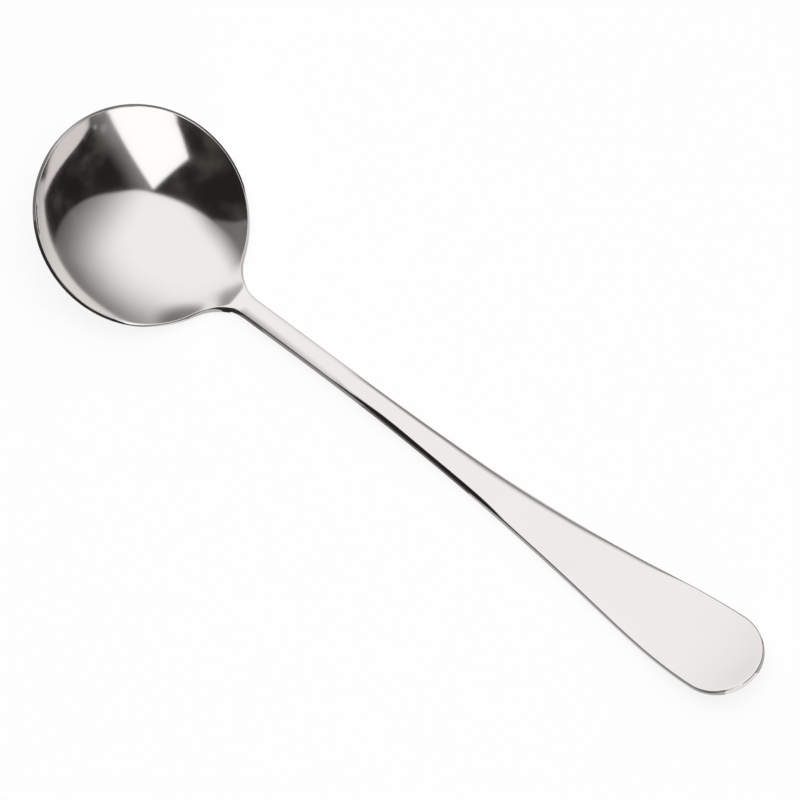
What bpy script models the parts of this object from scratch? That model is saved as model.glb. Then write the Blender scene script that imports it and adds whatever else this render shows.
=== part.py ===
# A stamped steel dessert spoon, lying on a table with its hollow up.
# The handle runs along +X, the width along Y. One blank is dished, bent at the neck and thinned to its end.

import math

import bmesh
import bpy

# Sizes in metres, with the spoon lying on the table
SPOON_LENGTH = 0.1784
BOWL_WIDTH = 0.0450
BOWL_LENGTH = 0.0464
BOWL_DEPTH = 0.0085
STEM_WIDTH = 0.0043
SHOULDER_WIDTH = 0.0130
HANDLE_WIDTH = 0.0182
END_ROUND = 0.0092
NECK_RADIUS = 0.0093

# How far the rim leans up from the table, with the tip highest, and how steeply the handle's end turns up
BOWL_PITCH = math.radians(22.0)
END_ANGLE = math.radians(21.6)

# Thickness of the metal, and how far its edges are rounded
RIM_THICKNESS = 0.0009
BASE_THICKNESS = 0.0011
NECK_THICKNESS = 0.0026
END_THICKNESS = 0.0016
EDGE_ROUND = 0.00035

# Heights of the handle's top face
NECK_HEIGHT = 0.0036
CREST_HEIGHT = 0.0039
END_LIFT = 0.0068

# Places along the handle, as shares of the way from the bowl's centre to the handle's end
CREST_SHARE = 0.285
FLARE_SHARE = 0.28
LOW_SHARE = 0.682

# Where the flare is steepest, as a share of the way from its start to the rounded end
SHOULDER_SHARE = 0.736

# Where the metal starts to thicken, as a share of the way from the bowl's centre
# to where its oval would close
THICKEN_SHARE = 0.75

# Towards the neck the bowl's floor is let down by this slope, which sets in over this length.
# The floor meets the top of the stem in a crease, rounded by about this much.
FLOOR_SLOPE = 0.055
FLOOR_RUN = 0.0060
CREASE_ROUND = 0.0002

# How fast the flare widens at the shoulder, against a straight taper
FLARE_SWEEP = 2.28

# Faces of the sheet: rows along each stretch, columns across
TIP_ROWS = 12
NECK_ROWS = 20
HANDLE_ROWS = 36
END_ROWS = 7
COLUMNS = 18
EDGE_SEGMENTS = 2
SHARP_ANGLE = math.radians(50)

# Polished stainless steel
STEEL_COLOUR = (0.80, 0.79, 0.78, 1.0)
STEEL_ROUGHNESS = 0.12

# The inner face of the bowl is part of a ball. The wall leans out below it, so its inner rim is smaller,
# by the lean of the rim's face less what the rounding takes off the outer corner.
wall_angle = 2 * math.atan2(BOWL_DEPTH, BOWL_WIDTH / 2)
rounded_off = EDGE_ROUND * (math.sin(wall_angle) + math.cos(wall_angle) - 1)
lip = RIM_THICKNESS * math.sin(wall_angle) - rounded_off
rim_half = BOWL_WIDTH / 2 - lip
rim_reach = BOWL_LENGTH / 2 - lip
stretch = rim_reach / rim_half
ball_radius = (rim_half**2 + BOWL_DEPTH**2) / (2 * BOWL_DEPTH)
ball_drop = ball_radius - BOWL_DEPTH
rim_height = ball_radius + BASE_THICKNESS - ball_drop * math.cos(BOWL_PITCH)

# The neck's fillet is an arc tangent to the bowl's circle and to the stem
stem_half = STEM_WIDTH / 2
fillet_centre = math.sqrt((rim_half + NECK_RADIUS) ** 2 - (stem_half + NECK_RADIUS) ** 2)
fillet_start = fillet_centre * rim_half / (rim_half + NECK_RADIUS)
per_arc = math.cos(BOWL_PITCH) * stretch

# Places along X, measured from the bowl's centre
handle_end = SPOON_LENGTH - BOWL_LENGTH / 2 * math.cos(BOWL_PITCH) - END_THICKNESS * math.sin(END_ANGLE)
round_at = handle_end - END_ROUND
crest_at = handle_end * CREST_SHARE
flare_at = handle_end * FLARE_SHARE
low_at = handle_end * LOW_SHARE
shoulder_at = flare_at + (round_at - flare_at) * SHOULDER_SHARE
neck_at = fillet_start * per_arc
fillet_end = fillet_centre * per_arc
lowest_at = ball_drop * math.sin(BOWL_PITCH)
thicken_at = rim_reach * math.cos(BOWL_PITCH) * THICKEN_SHARE


def ease(share):
    share = min(max(share, 0.0), 1.0)
    return share * share * (3 - 2 * share)


def curve_between(x, start, end):
    """A smooth curve between two (x, value, slope) stations, as its value at x."""
    span = end[0] - start[0]
    t = (x - start[0]) / span
    rise = end[1] - start[1]
    bow = start[2] * span - rise
    swing = rise - end[2] * span
    return start[1] + t * rise + t * (1 - t) * ((1 - t) * bow + t * swing)


def handle_thickness(x):
    share = (x - crest_at) / (handle_end - crest_at)
    return NECK_THICKNESS + (END_THICKNESS - NECK_THICKNESS) * min(max(share, 0.0), 1.0)


def half_width(x):
    """Half the width of the blank at x, from the bowl's centre to where the handle's end rounds off."""
    arc = x / per_arc
    if arc < fillet_start:
        return math.sqrt(rim_half**2 - arc**2)
    if arc < fillet_centre:
        return stem_half + NECK_RADIUS - math.sqrt(NECK_RADIUS**2 - (fillet_centre - arc) ** 2)
    if x < flare_at:
        return stem_half
    shoulder_slope = FLARE_SWEEP * (SHOULDER_WIDTH / 2 - stem_half) / (shoulder_at - flare_at)
    shoulder = (shoulder_at, SHOULDER_WIDTH / 2, shoulder_slope)
    if x < shoulder_at:
        return curve_between(x, (flare_at, stem_half, 0.0), shoulder)
    return curve_between(x, shoulder, (round_at, HANDLE_WIDTH / 2, 0.0))


def handle_height(x):
    """Height of the top face along the middle of the neck, the stem and the handle."""
    crest = (crest_at, CREST_HEIGHT, 0.0)
    if x < crest_at:
        return curve_between(x, (neck_at, NECK_HEIGHT, 0.0), crest)
    low = (low_at, handle_thickness(low_at), 0.0)
    if x < low_at:
        return curve_between(x, crest, low)
    return curve_between(x, low, (handle_end, low[1] + END_LIFT, math.tan(END_ANGLE)))


def bowl_height(x, y):
    """Height of the bowl's inner face: a leaning, stretched ball, let down and levelled across at the neck."""
    y *= 1 - ease((x - neck_at) / (fillet_end - neck_at))
    lean, upright = math.sin(BOWL_PITCH), math.cos(BOWL_PITCH)
    along, above = x * upright / stretch, x * lean - ball_drop
    square = (lean / stretch) ** 2 + upright**2
    middle = above * upright - along * lean / stretch
    apart = max(middle**2 - square * (along**2 + above**2 + y**2 - ball_radius**2), 0.0)
    run = max(x - lowest_at, 0.0)
    share = min(run / FLOOR_RUN, 1.0)
    let_down = FLOOR_RUN * share**3 * (1 - share / 2) + max(run - FLOOR_RUN, 0.0)
    return rim_height - (middle + math.sqrt(apart)) / square - FLOOR_SLOPE * let_down


def thickness(x, y):
    away = min(math.hypot(x / per_arc, y) / rim_half, 1.0)
    wall = BASE_THICKNESS + (RIM_THICKNESS - BASE_THICKNESS) * away**2
    share = ease((x - thicken_at) / (fillet_end - thicken_at))
    return wall + (handle_thickness(x) - wall) * share


def blank_point(row, across):
    """Where a point of the flat grid lies on the blank, as x and y. across runs from -1 to 1."""
    if row <= TIP_ROWS:
        share = 1 - row / TIP_ROWS
        x = -rim_reach * math.cos(BOWL_PITCH) * share * math.sqrt(1 - across**2 / 2)
        return x, rim_half * across * math.sqrt(1 - share**2 / 2)
    row -= TIP_ROWS
    if row <= NECK_ROWS:
        x = fillet_end * math.sin(row / NECK_ROWS * math.pi / 2)
        return x, half_width(x) * across
    row -= NECK_ROWS
    if row <= HANDLE_ROWS:
        x = fillet_end + (round_at - fillet_end) * row / HANDLE_ROWS
        return x, half_width(x) * across
    share = (row - HANDLE_ROWS) / END_ROWS
    x = round_at + END_ROUND * share * math.sqrt(1 - across**2 / 2)
    return x, HANDLE_WIDTH / 2 * across * math.sqrt(1 - share**2 / 2)


def pressed_point(x, y):
    """The blank's point after pressing: dished in the bowl, bent up and down along the handle."""
    if x > fillet_end:
        return x, y, handle_height(x)
    away = min(math.hypot(x / per_arc, y), ball_radius)
    x -= max(math.sqrt(ball_radius**2 - away**2) - ball_drop, 0.0) * math.sin(BOWL_PITCH)
    floor = bowl_height(x, y)
    if x < neck_at:
        return x, y, floor
    stem = handle_height(x)
    crease = CREASE_ROUND * ease((x - neck_at) / (fillet_end - neck_at))
    return x, y, (floor + stem - math.hypot(floor - stem, crease)) / 2


def steel():
    material = bpy.data.materials.new("polished_steel")
    material.use_nodes = True
    shader = material.node_tree.nodes["Principled BSDF"]
    shader.inputs["Base Color"].default_value = STEEL_COLOUR
    shader.inputs["Metallic"].default_value = 1.0
    shader.inputs["Roughness"].default_value = STEEL_ROUGHNESS
    return material


def top_sheet():
    """The spoon's top face as one sheet, with the thickness below it at each point."""
    rows = TIP_ROWS + NECK_ROWS + HANDLE_ROWS + END_ROWS
    bm = bmesh.new()
    bmesh.ops.create_grid(bm, x_segments=rows, y_segments=COLUMNS, size=1.0)
    depths = []
    for vert in bm.verts:
        row = round((vert.co.x + 1) / 2 * rows)
        x, y = blank_point(row, round(vert.co.y * COLUMNS) / COLUMNS)
        depths.append(thickness(x, y))
        vert.co = pressed_point(x, y)
    mesh = bpy.data.meshes.new("spoon")
    bm.to_mesh(mesh)
    bm.free()
    return mesh, depths


def make_spoon():
    mesh, depths = top_sheet()
    spoon = bpy.data.objects.new("spoon", mesh)
    bpy.context.scene.collection.objects.link(spoon)
    mesh.materials.append(steel())
    group = spoon.vertex_groups.new(name="thickness")
    thickest = max(depths)
    for index, depth in enumerate(depths):
        group.add([index], depth / thickest, "REPLACE")
    wall = spoon.modifiers.new("wall", "SOLIDIFY")
    wall.thickness = thickest
    wall.offset = -1.0
    wall.vertex_group = group.name
    edge = spoon.modifiers.new("edge", "BEVEL")
    edge.width = EDGE_ROUND
    edge.segments = EDGE_SEGMENTS
    edge.angle_limit = SHARP_ANGLE
    mesh.shade_smooth()
    return spoon


def stand_on_table(spoon):
    """Moves the spoon so that its length is centred on the origin and its lowest point is at Z = 0."""
    bpy.context.view_layer.update()
    corners = spoon.evaluated_get(bpy.context.evaluated_depsgraph_get()).bound_box
    lengths = [corner[0] for corner in corners]
    spoon.location.x = -(min(lengths) + max(lengths)) / 2
    spoon.location.z = -min(corner[2] for corner in corners)


for leftover in list(bpy.data.objects):
    bpy.data.objects.remove(leftover)
stand_on_table(make_spoon())
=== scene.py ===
import math

import bpy
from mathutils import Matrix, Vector


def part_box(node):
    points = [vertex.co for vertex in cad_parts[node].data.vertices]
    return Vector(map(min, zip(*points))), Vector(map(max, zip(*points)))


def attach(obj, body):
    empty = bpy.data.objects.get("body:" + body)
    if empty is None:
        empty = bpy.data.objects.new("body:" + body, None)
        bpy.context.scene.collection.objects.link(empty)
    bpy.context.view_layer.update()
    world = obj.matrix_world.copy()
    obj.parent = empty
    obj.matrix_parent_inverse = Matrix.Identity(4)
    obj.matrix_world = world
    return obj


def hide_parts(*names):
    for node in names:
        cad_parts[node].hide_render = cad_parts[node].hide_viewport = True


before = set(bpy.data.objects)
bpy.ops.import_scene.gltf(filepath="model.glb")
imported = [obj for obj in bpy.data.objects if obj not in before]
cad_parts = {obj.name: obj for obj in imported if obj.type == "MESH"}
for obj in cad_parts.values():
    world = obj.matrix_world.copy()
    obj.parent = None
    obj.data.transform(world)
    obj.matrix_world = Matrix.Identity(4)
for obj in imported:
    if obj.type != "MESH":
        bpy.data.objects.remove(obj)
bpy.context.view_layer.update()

print("frame loaded:", sorted(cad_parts))

# The spoon, in metres and degrees. X runs along the handle from under the bowl's centre
spoonForm = {
    "length": 0.1784,
    "bowlWidth": 0.0450,
    "bowlLength": 0.0464,
    "bowlDepth": 0.0085,
    "bowlPitch": 22.0,  # the tip is raised
    "stemWidth": 0.0043,
    "shoulderWidth": 0.0130,
    "handleWidth": 0.0182,
    "endRound": 0.0092,
    "endAngle": 21.6,  # how steeply the end turns up
    "neckRadius": 0.0093,
    "rimThickness": 0.0009,
    "baseThickness": 0.0011,
    "neckThickness": 0.0026,
    "endThickness": 0.0016,
    "neckHeight": 0.0036,
    "crestHeight": 0.0039,
    "endLift": 0.0068,
    "crestShare": 0.285,  # shares of the way from the bowl's centre to the handle's end
    "flareShare": 0.28,
    "lowShare": 0.682,
    "shoulderShare": 0.736,  # of the way from the flare's start to the rounded end
    "thickenShare": 0.75,  # of the way from the bowl's centre to where its oval would close
    "floorSlope": 0.055,  # the bowl's floor is let down by this towards the neck
    "floorRun": 0.006,
    "creaseRound": 0.0002,  # where the floor meets the top of the stem
    "flareSweep": 2.28,
}

# How the top edge is rolled over: place along X, width, depth and sharpness of the roll,
# and radius of the corner
edgeStations = {
    "near": [
        (0.0225, 0.0003, 0.00000, 2.0, 0.00010),
        (0.0270, 0.0021, 0.00050, 1.3, 0.00010),
        (0.0505, 0.0020, 0.00043, 1.3, 0.00010),
        (0.0550, 0.0015, 0.00030, 2.0, 0.00010),
        (0.0590, 0.0011, 0.00034, 1.8, 0.00015),
        (0.0650, 0.0009, 0.00050, 1.5, 0.00020),
        (0.0750, 0.0008, 0.00045, 1.5, 0.00020),
        (0.0880, 0.0008, 0.00045, 1.4, 0.00020),
        (0.0970, 0.0006, 0.00015, 1.4, 0.00020),
        (0.1040, 0.0004, 0.00008, 1.5, 0.00020),
        (0.1360, 0.0004, 0.00006, 1.5, 0.00020),
    ],
    "far": [
        (0.0225, 0.0003, 0.00000, 2.0, 0.00010),
        (0.0270, 0.0019, 0.00032, 2.0, 0.00020),
        (0.0480, 0.0019, 0.00038, 2.0, 0.00020),
        (0.0580, 0.0010, 0.00055, 1.4, 0.00020),
        (0.0750, 0.0011, 0.00068, 1.4, 0.00020),
        (0.0880, 0.0021, 0.00098, 2.0, 0.00020),
        (0.0970, 0.0020, 0.00096, 2.0, 0.00020),
        (0.1050, 0.0018, 0.00086, 2.0, 0.00020),
        (0.1210, 0.0014, 0.00056, 2.0, 0.00020),
        (0.1360, 0.0004, 0.00006, 1.5, 0.00020),
    ],
}

# Faces of each sheet, and the small fillets along its edges
sheetGrid = {
    "tipRows": 30,
    "neckRows": 48,
    "handleRows": 96,
    "endRows": 22,
    "innerColumns": 16,  # each side of the middle
    "rollColumns": 7,
    "filletColumns": 6,
    "widestRoll": 0.9,  # share of the half width
    "widestCorner": 0.5,  # share of the roll
    "step": 0.00002,  # for slopes
}

form = spoonForm
grid = sheetGrid
pitch = math.radians(form["bowlPitch"])
endAngle = math.radians(form["endAngle"])
wallAngle = 2 * math.atan2(form["bowlDepth"], form["bowlWidth"] / 2)
roundedOff = edgeStations["near"][0][4] * (math.sin(wallAngle) + math.cos(wallAngle) - 1)
lip = form["rimThickness"] * math.sin(wallAngle) - roundedOff
rimHalf = form["bowlWidth"] / 2 - lip
rimReach = form["bowlLength"] / 2 - lip
ballRadius = (rimHalf**2 + form["bowlDepth"] ** 2) / (2 * form["bowlDepth"])
ballDrop = ballRadius - form["bowlDepth"]
rimHeight = ballRadius + form["baseThickness"] - ballDrop * math.cos(pitch)
stretch = rimReach / rimHalf
perArc = math.cos(pitch) * stretch  # X for each metre round the bowl's circle

# The neck's fillet touches the bowl's circle and the stem
stemHalf = form["stemWidth"] / 2
filletCentre = math.sqrt((rimHalf + form["neckRadius"]) ** 2 - (stemHalf + form["neckRadius"]) ** 2)
filletStart = filletCentre * rimHalf / (rimHalf + form["neckRadius"])

handleEnd = (
    form["length"]
    - form["bowlLength"] / 2 * math.cos(pitch)
    - form["endThickness"] * math.sin(endAngle)
)
roundAt = handleEnd - form["endRound"]
crestAt = handleEnd * form["crestShare"]
flareAt = handleEnd * form["flareShare"]
lowAt = handleEnd * form["lowShare"]
shoulderAt = flareAt + (roundAt - flareAt) * form["shoulderShare"]
neckAt = filletStart * perArc
filletEnd = filletCentre * perArc
lowestAt = ballDrop * math.sin(pitch)
thickenAt = rimReach * math.cos(pitch) * form["thickenShare"]


def ease(share):
    share = min(max(share, 0.0), 1.0)
    return share * share * (3 - 2 * share)


def curveBetween(x, start, end):  # each end is place, value, slope
    span = end[0] - start[0]
    t = (x - start[0]) / span
    rise = end[1] - start[1]
    bow = start[2] * span - rise
    swing = rise - end[2] * span
    return start[1] + t * rise + t * (1 - t) * ((1 - t) * bow + t * swing)


def handleThickness(x):
    share = min(max((x - crestAt) / (handleEnd - crestAt), 0.0), 1.0)
    return form["neckThickness"] + (form["endThickness"] - form["neckThickness"]) * share


def halfWidth(x):
    arc = x / perArc
    if arc < filletStart:
        return math.sqrt(max(rimHalf**2 - arc**2, 0.0))
    if arc < filletCentre:
        radius = form["neckRadius"]
        return stemHalf + radius - math.sqrt(radius**2 - (filletCentre - arc) ** 2)
    if x < flareAt:
        return stemHalf
    shoulderHalf = form["shoulderWidth"] / 2
    sweep = form["flareSweep"] * (shoulderHalf - stemHalf) / (shoulderAt - flareAt)
    shoulder = (shoulderAt, shoulderHalf, sweep)
    if x < shoulderAt:
        return curveBetween(x, (flareAt, stemHalf, 0.0), shoulder)
    if x < roundAt:
        return curveBetween(x, shoulder, (roundAt, form["handleWidth"] / 2, 0.0))
    return form["handleWidth"] / 2


def handleHeight(x):  # of the top face, along the neck, the stem and the handle
    crest = (crestAt, form["crestHeight"], 0.0)
    if x < crestAt:
        return curveBetween(x, (neckAt, form["neckHeight"], 0.0), crest)
    low = (lowAt, handleThickness(lowAt), 0.0)
    if x < lowAt:
        return curveBetween(x, crest, low)
    return curveBetween(x, low, (handleEnd, low[1] + form["endLift"], math.tan(endAngle)))


def bowlHeight(x, y):  # the lower half of a leaning, stretched ball, let down towards the neck
    y *= 1 - ease((x - neckAt) / (filletEnd - neckAt))
    lean, upright = math.sin(pitch), math.cos(pitch)
    along, above = x * upright / stretch, x * lean - ballDrop
    square = (lean / stretch) ** 2 + upright**2
    middle = above * upright - along * lean / stretch
    apart = max(middle**2 - square * (along**2 + above**2 + y**2 - ballRadius**2), 0.0)
    run = max(x - lowestAt, 0.0)
    share = min(run / form["floorRun"], 1.0)
    letDown = form["floorRun"] * share**3 * (1 - share / 2) + max(run - form["floorRun"], 0.0)
    return rimHeight - (middle + math.sqrt(apart)) / square - form["floorSlope"] * letDown


def pressedPoint(x, y):  # dished square to the rim in the bowl, bent up and down along the handle
    if x > filletEnd:
        return Vector((x, y, handleHeight(x)))
    away = min(math.hypot(x / perArc, y), ballRadius)
    x -= max(math.sqrt(ballRadius**2 - away**2) - ballDrop, 0.0) * math.sin(pitch)
    floor = bowlHeight(x, y)
    if x < neckAt:
        return Vector((x, y, floor))
    stem = handleHeight(x)
    crease = form["creaseRound"] * ease((x - neckAt) / (filletEnd - neckAt))
    return Vector((x, y, (floor + stem - math.hypot(floor - stem, crease)) / 2))


def faceNormal(x, y):
    step = grid["step"]
    alongX = pressedPoint(x + step, y) - pressedPoint(x - step, y)
    alongY = pressedPoint(x, y + step) - pressedPoint(x, y - step)
    return alongX.cross(alongY).normalized()


def wallThickness(x, y):
    away = min(math.hypot(x / perArc, y) / rimHalf, 1.0)
    wall = form["baseThickness"] + (form["rimThickness"] - form["baseThickness"]) * away**2
    share = ease((x - thickenAt) / (filletEnd - thickenAt))
    return wall + (handleThickness(x) - wall) * share


def edgeRoll(x, y):  # width, depth and sharpness of the roll at x, and the corner beyond it
    stations = edgeStations["far" if y > 0 else "near"]
    before = stations[0]
    for after in stations:
        if x < after[0]:
            share = ease((x - before[0]) / (after[0] - before[0])) if after is not before else 0.0
            return [a + (b - a) * share for a, b in zip(before[1:], after[1:])]
        before = after
    return list(before[1:])


def edgeGap(x, y):  # how far a point of the blank is from its outline
    arc = x / perArc
    if arc < filletStart:
        return rimHalf - math.hypot(arc, y)
    if arc < filletCentre:
        radius = form["neckRadius"]
        return math.hypot(arc - filletCentre, abs(y) - stemHalf - radius) - radius
    if x < roundAt:
        return halfWidth(x) - abs(y)
    half = form["handleWidth"] / 2
    return half * (1 - math.hypot((x - roundAt) / form["endRound"], y / half))


def fillet(gap, radius):
    share = min(max(1 - gap / radius, 0.0), 1.0)
    return radius * (1 - math.sqrt(1 - share**2))


def placeAcross(index, half, slant, roll, inner):  # columns crowd into the roll and the fillet
    side = 1 if index >= 0 else -1
    index = abs(index)
    wide = min(roll[0] * slant, grid["widestRoll"] * half)
    slim = min(roll[3] * slant, grid["widestCorner"] * wide)
    if index <= inner:
        return side * (half - wide) * index / inner
    index -= inner
    if index <= grid["rollColumns"]:
        return side * (half - wide + (wide - slim) * index / grid["rollColumns"])
    turn = (index - grid["rollColumns"]) / grid["filletColumns"] * math.pi / 2
    return side * (half - slim + slim * math.sin(turn))


def blankPoint(row, column):  # where a point of the flat grid lies on the blank
    edgeRows = grid["rollColumns"] + grid["filletColumns"]
    if row <= grid["tipRows"]:
        roll = edgeRoll(0.0, column)
        across = placeAcross(column, rimHalf, 1.0, roll, grid["innerColumns"]) / rimHalf
        inner = grid["tipRows"] - edgeRows
        share = placeAcross(grid["tipRows"] - row, rimHalf, 1.0, roll, inner) / rimHalf
        x = -rimReach * math.cos(pitch) * share * math.sqrt(1 - across**2 / 2)
        return x, rimHalf * across * math.sqrt(1 - share**2 / 2)
    row -= grid["tipRows"]
    if row <= grid["neckRows"]:
        x = filletEnd * math.sin(row / grid["neckRows"] * math.pi / 2)
    else:
        share = min((row - grid["neckRows"]) / grid["handleRows"], 1.0)
        x = filletEnd + (roundAt - filletEnd) * share
    row -= grid["neckRows"] + grid["handleRows"]
    half = halfWidth(x)
    roll = edgeRoll(x, column)
    slope = (halfWidth(x + grid["step"]) - halfWidth(x - grid["step"])) / (2 * grid["step"])
    y = placeAcross(column, half, math.hypot(1.0, slope), roll, grid["innerColumns"])
    if row <= 0:
        return x, y
    across = y / half
    share = placeAcross(row, half, 1.0, roll, grid["endRows"] - edgeRows) / half
    x = roundAt + form["endRound"] * share * math.sqrt(1 - across**2 / 2)
    return x, half * across * math.sqrt(1 - share**2 / 2)


def addSheet(name, under):
    rows = grid["tipRows"] + grid["neckRows"] + grid["handleRows"] + grid["endRows"]
    sideColumns = grid["innerColumns"] + grid["rollColumns"] + grid["filletColumns"]
    bpy.ops.object.select_all(action="DESELECT")
    bpy.ops.mesh.primitive_grid_add(x_subdivisions=rows, y_subdivisions=2 * sideColumns, size=2)
    sheet = bpy.context.object
    sheet.name = name
    for vert in sheet.data.vertices:
        row = round((vert.co.x + 1) / 2 * rows)
        x, y = blankPoint(row, round(vert.co.y * sideColumns))
        gap = max(edgeGap(x, y), 0.0)
        width, depth, sharpness, corner = edgeRoll(x, y)
        sink = fillet(gap, corner)
        if under:
            sink = wallThickness(x, y) - sink
        else:
            sink += depth * max(1 - gap / width, 0.0) ** sharpness
        vert.co = pressedPoint(x, y) - faceNormal(x, y) * sink
    if under:
        bpy.ops.object.mode_set(mode="EDIT")
        bpy.ops.mesh.select_all(action="SELECT")
        bpy.ops.mesh.flip_normals()
        bpy.ops.object.mode_set(mode="OBJECT")
    return sheet


def makeSpoon():
    top = addSheet("spoonBody", False)
    under = addSheet("spoonUnder", True)
    top.select_set(True)
    bpy.context.view_layer.objects.active = top
    bpy.ops.object.join()
    bpy.ops.object.mode_set(mode="EDIT")
    bpy.ops.mesh.select_mode(type="EDGE")
    bpy.ops.mesh.select_all(action="DESELECT")
    bpy.ops.mesh.select_non_manifold()
    # the cut edge of the steel
    bpy.ops.mesh.bridge_edge_loops(number_cuts=1, interpolation="LINEAR")
    bpy.ops.mesh.select_all(action="SELECT")
    bpy.ops.mesh.normals_make_consistent(inside=False)
    bpy.ops.object.mode_set(mode="OBJECT")
    bpy.ops.object.shade_smooth()
    # set over the CAD solid, then its place goes into the mesh
    low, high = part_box("spoon")
    xs = [vert.co.x for vert in top.data.vertices]
    zs = [vert.co.z for vert in top.data.vertices]
    top.location = ((low.x + high.x - min(xs) - max(xs)) / 2, 0.0, low.z - min(zs))
    bpy.ops.object.transform_apply(location=True)
    return top


# Polished stainless steel with a faint haze and fine polishing lines along the spoon
steelFinish = {
    "paler": (0.82, 0.81, 0.80, 1.0),
    "darker": (0.77, 0.76, 0.75, 1.0),
    "roughest": 0.13,
    "smoothest": 0.07,
    "hazeScale": 55.0,
    "hazeDetail": 6.0,
    "hazeSpan": (0.3, 0.7),  # of the noise, from smoothest to roughest
    "lineScale": (120.0, 2600.0, 2600.0),
    "lineDetail": 3.0,
    "lineDepth": 0.0000008,
}


def makeSteel():
    steel = bpy.data.materials.new("polishedSteel")
    steel.use_nodes = True
    nodes, links = steel.node_tree.nodes, steel.node_tree.links
    shader = nodes["Principled BSDF"]
    shader.inputs["Metallic"].default_value = 1.0
    place = nodes.new("ShaderNodeTexCoord")
    haze = nodes.new("ShaderNodeTexNoise")
    haze.inputs["Scale"].default_value = steelFinish["hazeScale"]
    haze.inputs["Detail"].default_value = steelFinish["hazeDetail"]
    links.new(place.outputs["Object"], haze.inputs["Vector"])
    tint = nodes.new("ShaderNodeMix")
    tint.data_type = "RGBA"
    tint.inputs["A"].default_value = steelFinish["darker"]
    tint.inputs["B"].default_value = steelFinish["paler"]
    links.new(haze.outputs["Fac"], tint.inputs["Factor"])
    links.new(tint.outputs["Result"], shader.inputs["Base Color"])
    dull = nodes.new("ShaderNodeMapRange")
    dull.inputs["From Min"].default_value = steelFinish["hazeSpan"][0]
    dull.inputs["From Max"].default_value = steelFinish["hazeSpan"][1]
    dull.inputs["To Min"].default_value = steelFinish["smoothest"]
    dull.inputs["To Max"].default_value = steelFinish["roughest"]
    links.new(haze.outputs["Fac"], dull.inputs["Value"])
    links.new(dull.outputs["Result"], shader.inputs["Roughness"])
    along = nodes.new("ShaderNodeMapping")
    along.inputs["Scale"].default_value = steelFinish["lineScale"]
    links.new(place.outputs["Object"], along.inputs["Vector"])
    lines = nodes.new("ShaderNodeTexNoise")
    lines.inputs["Scale"].default_value = 1.0
    lines.inputs["Detail"].default_value = steelFinish["lineDetail"]
    links.new(along.outputs["Vector"], lines.inputs["Vector"])
    bump = nodes.new("ShaderNodeBump")
    bump.inputs["Strength"].default_value = 1.0
    bump.inputs["Distance"].default_value = steelFinish["lineDepth"]
    links.new(lines.outputs["Fac"], bump.inputs["Height"])
    links.new(bump.outputs["Normal"], shader.inputs["Normal"])
    return steel


spoonBody = makeSpoon()
spoonBody.data.materials.clear()
spoonBody.data.materials.append(makeSteel())
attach(spoonBody, "root")
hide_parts("spoon")
print("spoon:", len(spoonBody.data.polygons), "faces")

# The camera looks down over the spoon, which runs from the upper left to the lower right
cameraView = {
    "aim": (-0.00414, 0.00400, 0.0),
    "elevation": 72.0,
    "turn": 37.99,  # of the picture's right from +X
    "distance": 1.5,
    "lens": 331.6,
    "sensor": 36.0,
}


def towards(right, back, up):  # a direction of the picture, in the part's axes
    turn = math.radians(cameraView["turn"])
    return Vector((
        right * math.cos(turn) - back * math.sin(turn),
        right * math.sin(turn) + back * math.cos(turn),
        up,
    )).normalized()


def makeCamera():
    elevation = math.radians(cameraView["elevation"])
    outward = towards(0.0, -math.cos(elevation), math.sin(elevation))
    bpy.ops.object.camera_add(location=Vector(cameraView["aim"]) + outward * cameraView["distance"])
    camera = bpy.context.object
    camera.rotation_euler = (-outward).to_track_quat("-Z", "Y").to_euler()
    camera.data.lens = cameraView["lens"]
    camera.data.sensor_width = cameraView["sensor"]
    bpy.context.scene.camera = camera


makeCamera()
print("camera set")

# The studio: a pale tent overhead and behind, a bright window in front, and a dark room
studio = {
    "tentSide": (0.332, 0.609, 0.720),  # picture's right, back, up
    "tentEdge": (0.420, 0.444),  # cosine of the angle from there, across its crisp front edge
    "tentStep": (0.40, 0.73, -0.043),  # the edge is set back on the right
    "tentRight": (0.890, -0.455, 0.029),  # it dims to the right,
    "tentDim": (0.473, 1.123, 0.106),
    "tentRise": (-0.067, 0.861, 0.148),  # towards the horizon
    "tentBack": (0.835, 0.486, 0.258),  # and to the left
    "tentFade": (-0.292, 0.068, 0.096),
    "tentColour": (1.08, 1.05, 1.035, 1.0),
    "footSide": (-0.03, 0.92, 0.39),  # dimmer low down at the back
    "footEdge": (0.94, 0.99, 0.30),
    "wallBack": (-0.172, -0.126),  # a grey wall on the left
    "wallRight": (-0.10, -0.35),
    "wallLevel": 0.15,
    "windowSides": [(-0.769, -0.545, -0.052), (0.560, 0.009, 0.153), (0.370, -0.293, -0.295)],
    "windowEdge": (-0.008, 0.012),
    "windowFoot": (-0.32, -0.28),
    "windowGlow": (-0.26, 0.0, 0.20),  # a soft grey beside its first side
    "windowColour": (1.25, 1.25, 1.24, 1.0),
    "roomDark": (0.019, 0.016, 0.016, 1.0),
    "roomPale": (0.075, 0.066, 0.058, 1.0),
    "roomScale": 3.0,
    "roomDetail": 4.0,
    "roomSpan": (0.42, 0.70),  # of the noise, from dark to pale
}


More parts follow.
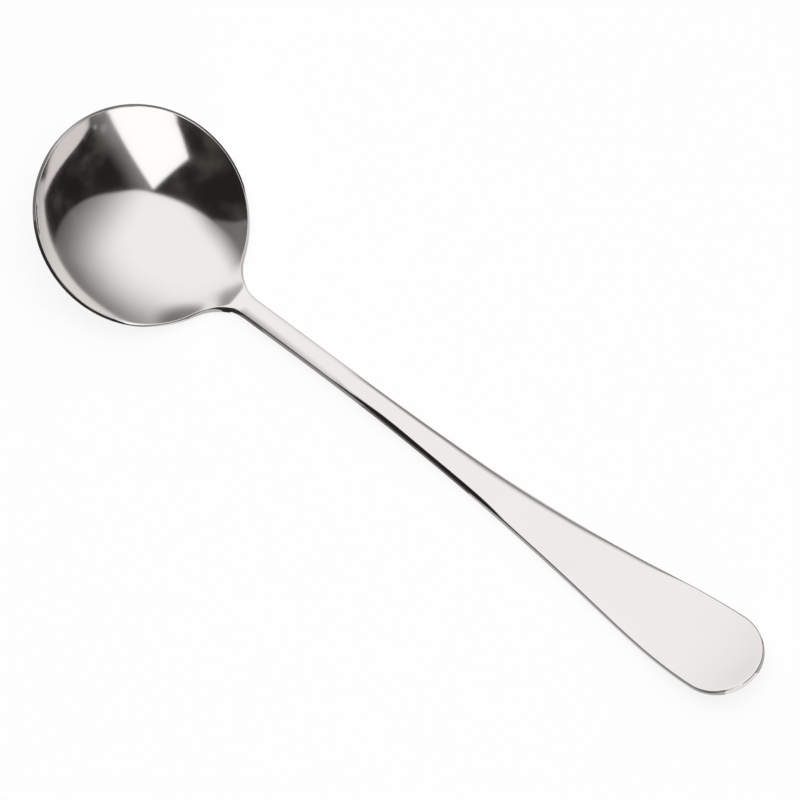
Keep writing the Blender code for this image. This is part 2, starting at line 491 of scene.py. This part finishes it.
def makeWorld():
    world = bpy.data.worlds.new("studio")
    bpy.context.scene.world = world
    world.use_nodes = True
    nodes, links = world.node_tree.nodes, world.node_tree.links
    nodes.clear()
    look = nodes.new("ShaderNodeTexCoord")

    def facing(direction):
        dot = nodes.new("ShaderNodeVectorMath")
        dot.operation = "DOT_PRODUCT"
        links.new(look.outputs["Generated"], dot.inputs[0])
        dot.inputs[1].default_value = towards(*direction)
        return dot.outputs["Value"]

    def between(value, edge, low=0.0, high=1.0):
        span = nodes.new("ShaderNodeMapRange")
        span.interpolation_type = "SMOOTHSTEP"
        span.inputs["From Min"].default_value = edge[0]
        span.inputs["From Max"].default_value = edge[1]
        span.inputs["To Min"].default_value = low
        span.inputs["To Max"].default_value = high
        links.new(value, span.inputs["Value"])
        return span.outputs["Result"]

    def combine(operation, first, second):
        joined = nodes.new("ShaderNodeMath")
        joined.operation = operation
        links.new(first, joined.inputs[0])
        links.new(second, joined.inputs[1])
        return joined.outputs["Value"]

    def both(first, second):
        return combine("MULTIPLY", first, second)

    def overlay(factor, below, above):
        mix = nodes.new("ShaderNodeMix")
        mix.data_type = "RGBA"
        links.new(factor, mix.inputs["Factor"])
        for socket, colour in ((mix.inputs["A"], below), (mix.inputs["B"], above)):
            if isinstance(colour, tuple):
                socket.default_value = colour
            else:
                links.new(colour, socket)
        return mix.outputs["Result"]

    # the tent is crisp in front and dims towards its other sides
    start, end, step = studio["tentStep"]
    step = between(facing((1.0, 0.0, 0.0)), (start, end), 0.0, step)
    tent = between(combine("ADD", facing(studio["tentSide"]), step), studio["tentEdge"])
    start, end, dim = studio["tentDim"]
    tent = both(tent, between(facing(studio["tentRight"]), (start, end), 1.0, dim))
    start, end, dim = studio["tentRise"]
    tent = both(tent, between(facing((0.0, 0.0, 1.0)), (start, end), dim, 1.0))
    start, end, dim = studio["tentFade"]
    tent = both(tent, between(facing(studio["tentBack"]), (start, end), dim, 1.0))
    start, end, dim = studio["footEdge"]
    tent = both(tent, between(facing(studio["footSide"]), (start, end), 1.0, dim))
    # a grey wall on the left
    wall = between(facing((0.0, 1.0, 0.0)), studio["wallBack"], 0.0, studio["wallLevel"])
    wall = both(wall, between(facing((1.0, 0.0, 0.0)), studio["wallRight"]))
    # the window and the grey beside it
    sides = [between(facing(side), studio["windowEdge"]) for side in studio["windowSides"]]
    window = both(both(sides[0], sides[1]), sides[2])
    window = both(window, between(facing((0.0, 0.0, 1.0)), studio["windowFoot"]))
    start, end, level = studio["windowGlow"]
    beside = between(facing(studio["windowSides"][0]), (start, end), 0.0, level)
    beside = both(both(beside, sides[1]), sides[2])
    clutter = nodes.new("ShaderNodeTexNoise")
    clutter.inputs["Scale"].default_value = studio["roomScale"]
    clutter.inputs["Detail"].default_value = studio["roomDetail"]
    links.new(look.outputs["Generated"], clutter.inputs["Vector"])
    pale = between(clutter.outputs["Fac"], studio["roomSpan"])
    room = overlay(pale, studio["roomDark"], studio["roomPale"])
    lit = combine("MAXIMUM", combine("MAXIMUM", tent, wall), beside)
    light = overlay(lit, room, studio["tentColour"])
    light = overlay(window, light, studio["windowColour"])
    path = nodes.new("ShaderNodeLightPath")
    seen = overlay(path.outputs["Is Camera Ray"], light, (1.0, 1.0, 1.0, 1.0))
    background = nodes.new("ShaderNodeBackground")
    links.new(seen, background.inputs["Color"])
    output = nodes.new("ShaderNodeOutputWorld")
    links.new(background.outputs["Background"], output.inputs["Surface"])


makeWorld()

# The floor: a white board that keeps a faint shadow
floorBoard = {
    "size": 0.36,
    "corner": 0.02,
    "cornerSegments": 8,
    "glow": 0.85,  # share of plain white that the camera sees
    "colour": (0.95, 0.95, 0.95, 1.0),
}


def makeFloor():
    bpy.ops.object.select_all(action="DESELECT")
    bpy.ops.mesh.primitive_plane_add(size=floorBoard["size"], location=(0.0, 0.0, 0.0))
    floor = bpy.context.object
    floor.name = "floorBoard"
    bpy.ops.object.mode_set(mode="EDIT")
    bpy.ops.mesh.select_all(action="SELECT")
    corner, segments = floorBoard["corner"], floorBoard["cornerSegments"]
    bpy.ops.mesh.bevel(offset=corner, segments=segments, affect="VERTICES")
    bpy.ops.object.mode_set(mode="OBJECT")
    floor.visible_glossy = False  # the cards stand in for it in the steel
    paper = bpy.data.materials.new("whiteBoard")
    paper.use_nodes = True
    nodes, links = paper.node_tree.nodes, paper.node_tree.links
    nodes.clear()
    matt = nodes.new("ShaderNodeBsdfDiffuse")
    matt.inputs["Color"].default_value = floorBoard["colour"]
    glow = nodes.new("ShaderNodeEmission")
    path = nodes.new("ShaderNodeLightPath")
    part = nodes.new("ShaderNodeMath")
    part.operation = "MULTIPLY"
    part.inputs[1].default_value = floorBoard["glow"]
    links.new(path.outputs["Is Camera Ray"], part.inputs[0])
    mix = nodes.new("ShaderNodeMixShader")
    links.new(part.outputs["Value"], mix.inputs["Fac"])
    links.new(matt.outputs["BSDF"], mix.inputs[1])
    links.new(glow.outputs["Emission"], mix.inputs[2])
    output = nodes.new("ShaderNodeOutputMaterial")
    links.new(mix.outputs["Shader"], output.inputs["Surface"])
    floor.data.materials.append(paper)


# Painted reflections: glowing oval cards on the board that only the steel mirrors, each a little
# above the one before; the greyer ones paint the board's shade under the bowl and beside the stem
# and handle
paintedReflectionCards = {
    "behindHandle": {
        "size": (0.128, 0.036),
        "place": (0.000, 0.0195),
        "turn": 4.0,
        "colour": (0.75, 0.70, 0.69, 1.0),
    },
    # greyed: painted shade of the board under the bowl
    "underBowl": {
        "size": (0.058, 0.060),
        "place": (-0.0722, 0.000),
        "turn": 0.0,
        "colour": (0.72, 0.70, 0.69, 1.0),
    },
    # dark grey: painted shade of the board beside the stem
    "besideStem": {
        "size": (0.029, 0.014),
        "place": (-0.0225, -0.006),
        "turn": 0.0,
        "colour": (0.30, 0.29, 0.28, 1.0),
    },
    "besideNeck": {
        "size": (0.014, 0.018),
        "place": (-0.0515, -0.0145),
        "turn": 0.0,
        "colour": (0.90, 0.88, 0.87, 1.0),
    },
    # painted shade of the board along the handle's near side
    "alongHandle": {
        "size": (0.076, 0.005),
        "place": (0.057, -0.0074),
        "turn": -5.7,
        "colour": (0.45, 0.44, 0.43, 1.0),
    },
    # painted shade of the board under the handle's end
    "underEnd": {
        "size": (0.016, 0.012),
        "place": (0.093, 0.0060),
        "turn": 0.0,
        "colour": (0.45, 0.44, 0.43, 1.0),
    },
    "beyondEnd": {
        "size": (0.022, 0.018),
        "place": (0.099, -0.0045),
        "turn": 0.0,
        "colour": (0.90, 0.88, 0.87, 1.0),
    },
}
cardStack = {"step": 0.0001, "sides": 64}  # height of each above the last, and sides of its outline


def onlyMirrored(piece):  # seen by mirror rays alone
    for ray in ("camera", "diffuse", "shadow"):
        setattr(piece, "visible_" + ray, False)


def makeCard(name, height):
    spec = paintedReflectionCards[name]
    bpy.ops.object.select_all(action="DESELECT")
    place = (*spec["place"], height)
    bpy.ops.mesh.primitive_circle_add(
        vertices=cardStack["sides"], radius=0.5, fill_type="NGON", location=place)
    bpy.ops.transform.resize(value=(*spec["size"], 1.0))
    card = bpy.context.object
    card.name = "paintedReflectionCard"
    card.rotation_euler.z = math.radians(spec["turn"])
    white = bpy.data.materials.new("paintedReflectionGlow")
    white.use_nodes = True
    shader = white.node_tree.nodes["Principled BSDF"]
    # a black card that glows: a painted reflection, hidden from the camera and from shadows
    shader.inputs["Base Color"].default_value = (0.0, 0.0, 0.0, 1.0)
    shader.inputs["Emission Color"].default_value = spec["colour"]
    shader.inputs["Emission Strength"].default_value = 1.0
    card.data.materials.append(white)
    onlyMirrored(card)


# Painted reflections: dim glowing discs that fade out at their rims, seen only by the steel's
# mirror rays; they paint shade on the neck, a shadow under the bowl and a grey reflection beside
# the handle
paintedReflectionDiscs = {
    # painted shade: a dim glowing disc behind the bowl that the neck mirrors as a dark patch
    "paintedNeckShade": {  # up behind the bowl, for the neck
        "from": (-0.0445, 0.0, 0.004),
        "side": (-0.420, 0.717, 0.555),
        "away": 0.15,
        "radius": 0.030,
        "squash": 1.0,  # its height against its width
        "full": 0.85,  # where it is full, as a share of the way in from its rim
        "level": 0.32,
    },
    # painted shadow under the bowl, mirrored by its underside
    "bowlShade": {  # just under the bowl
        "from": (-0.0590, 0.0, 0.0),
        "side": (0.0, 0.0, 1.0),
        "away": 0.0008,
        "radius": 0.022,
        "squash": 1.0,
        "full": 0.95,
        "level": 0.05,
    },
    # painted reflection: a dim glowing disc beside the handle
    "paintedHandleReflection": {  # standing beside the handle, for its top face in low views
        "from": (0.072, 0.0, 0.012),
        "side": (-0.6155, -0.788, 0.0),
        "away": 0.020,
        "radius": 0.040,
        "squash": 0.30,
        "full": 0.50,
        "level": 0.30,
    },
}
discSides = 48


def makeDisc(name):
    disc = paintedReflectionDiscs[name]
    side = towards(*disc["side"])
    bpy.ops.object.select_all(action="DESELECT")
    bpy.ops.mesh.primitive_circle_add(
        vertices=discSides, radius=disc["radius"], fill_type="NGON",
        location=Vector(disc["from"]) + side * disc["away"],
        rotation=side.to_track_quat("Z", "Y").to_euler())
    sheet = bpy.context.object
    sheet.name = name
    sheet.scale.y = disc["squash"]
    discGlow = bpy.data.materials.new(name + "Cloth")
    discGlow.use_nodes = True
    nodes, links = discGlow.node_tree.nodes, discGlow.node_tree.links
    nodes.clear()
    place = nodes.new("ShaderNodeTexCoord")
    grow = nodes.new("ShaderNodeMapping")
    grow.inputs["Scale"].default_value = (1 / disc["radius"],) * 3
    links.new(place.outputs["Object"], grow.inputs["Vector"])
    ball = nodes.new("ShaderNodeTexGradient")
    ball.gradient_type = "SPHERICAL"
    links.new(grow.outputs["Vector"], ball.inputs["Vector"])
    soft = nodes.new("ShaderNodeMapRange")
    soft.interpolation_type = "SMOOTHSTEP"
    soft.inputs["From Max"].default_value = disc["full"]
    links.new(ball.outputs["Fac"], soft.inputs["Value"])
    # clear at the rim, glowing inside: a painted reflection, dim for painted shade, seen only by
    # mirror rays
    clear = nodes.new("ShaderNodeBsdfTransparent")
    glow = nodes.new("ShaderNodeEmission")
    glow.inputs["Strength"].default_value = disc["level"]
    mix = nodes.new("ShaderNodeMixShader")
    links.new(soft.outputs["Result"], mix.inputs["Fac"])
    links.new(clear.outputs["BSDF"], mix.inputs[1])
    links.new(glow.outputs["Emission"], mix.inputs[2])
    output = nodes.new("ShaderNodeOutputMaterial")
    links.new(mix.outputs["Shader"], output.inputs["Surface"])
    sheet.data.materials.append(discGlow)
    onlyMirrored(sheet)


# A soft lamp overhead, which gives the board its faint shadow
softLamp = {
    "size": 0.8,
    "height": 1.2,
    "power": 6.0,
}


def makeLamp():
    bpy.ops.object.light_add(type="AREA", location=(0.0, 0.0, softLamp["height"]))
    lamp = bpy.context.object
    lamp.data.shape = "DISK"
    lamp.data.size = softLamp["size"]
    lamp.data.energy = softLamp["power"]
    lamp.visible_glossy = False


makeFloor()
for index, name in enumerate(paintedReflectionCards):
    makeCard(name, cardStack["step"] * (index + 1))
for name in paintedReflectionDiscs:
    makeDisc(name)
makeLamp()
print("studio set")

bpy.context.scene.view_settings.view_transform = "Standard"
